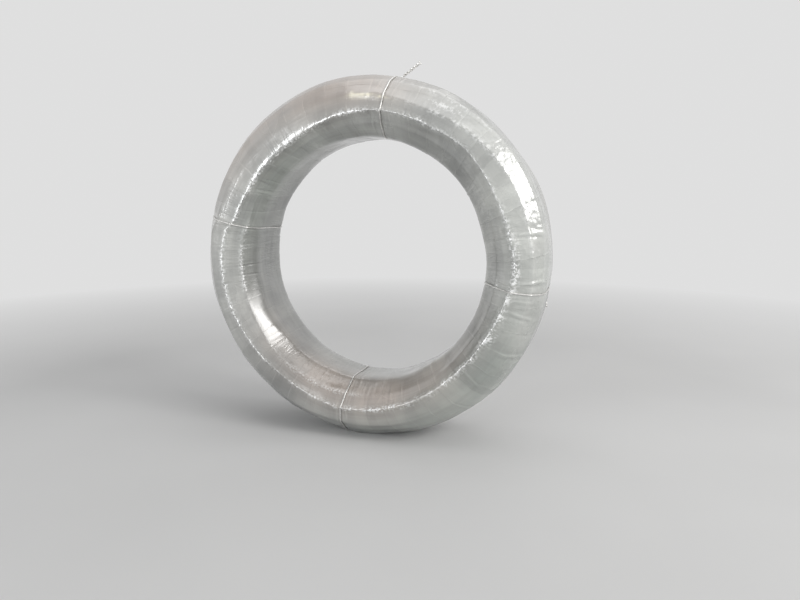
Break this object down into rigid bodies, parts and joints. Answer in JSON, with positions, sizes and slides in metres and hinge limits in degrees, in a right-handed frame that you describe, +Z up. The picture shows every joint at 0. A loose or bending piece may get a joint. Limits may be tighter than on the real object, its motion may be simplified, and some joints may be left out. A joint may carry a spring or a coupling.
{
  "type": "wrapped coil of spring steel wire",
  "caption": "Ring-shaped coil of spring steel wire, spirally wrapped in milky stretch film and held by twisted tie wires, standing on its rim.",
  "frame": {"origin": "middle of the bore, on the coil's axis at mid-width", "axes": "+Y along the coil's axis, away from the face seen in the picture; +Z up, with the coil standing on its rim; +X to the right seen from that face"},
  "size_m": [0.9, 0.254, 0.9293],
  "materials": {
    "spring_wire": "close-packed drawn steel wire, lightly oiled",
    "stretch_film": "many layers of milky stretch film, glossy and finely wrinkled",
    "tie_steel": "soft annealed tie wire, dull grey"
  },
  "bodies": {
    "root": {"wire_coil": "spring_wire", "film_wrap": "stretch_film", "tie_wire_top": "tie_steel", "tie_wire_left": "tie_steel", "tie_wire_bottom": "tie_steel", "tie_wire_right": "tie_steel"}
  },
  "joints": []
}
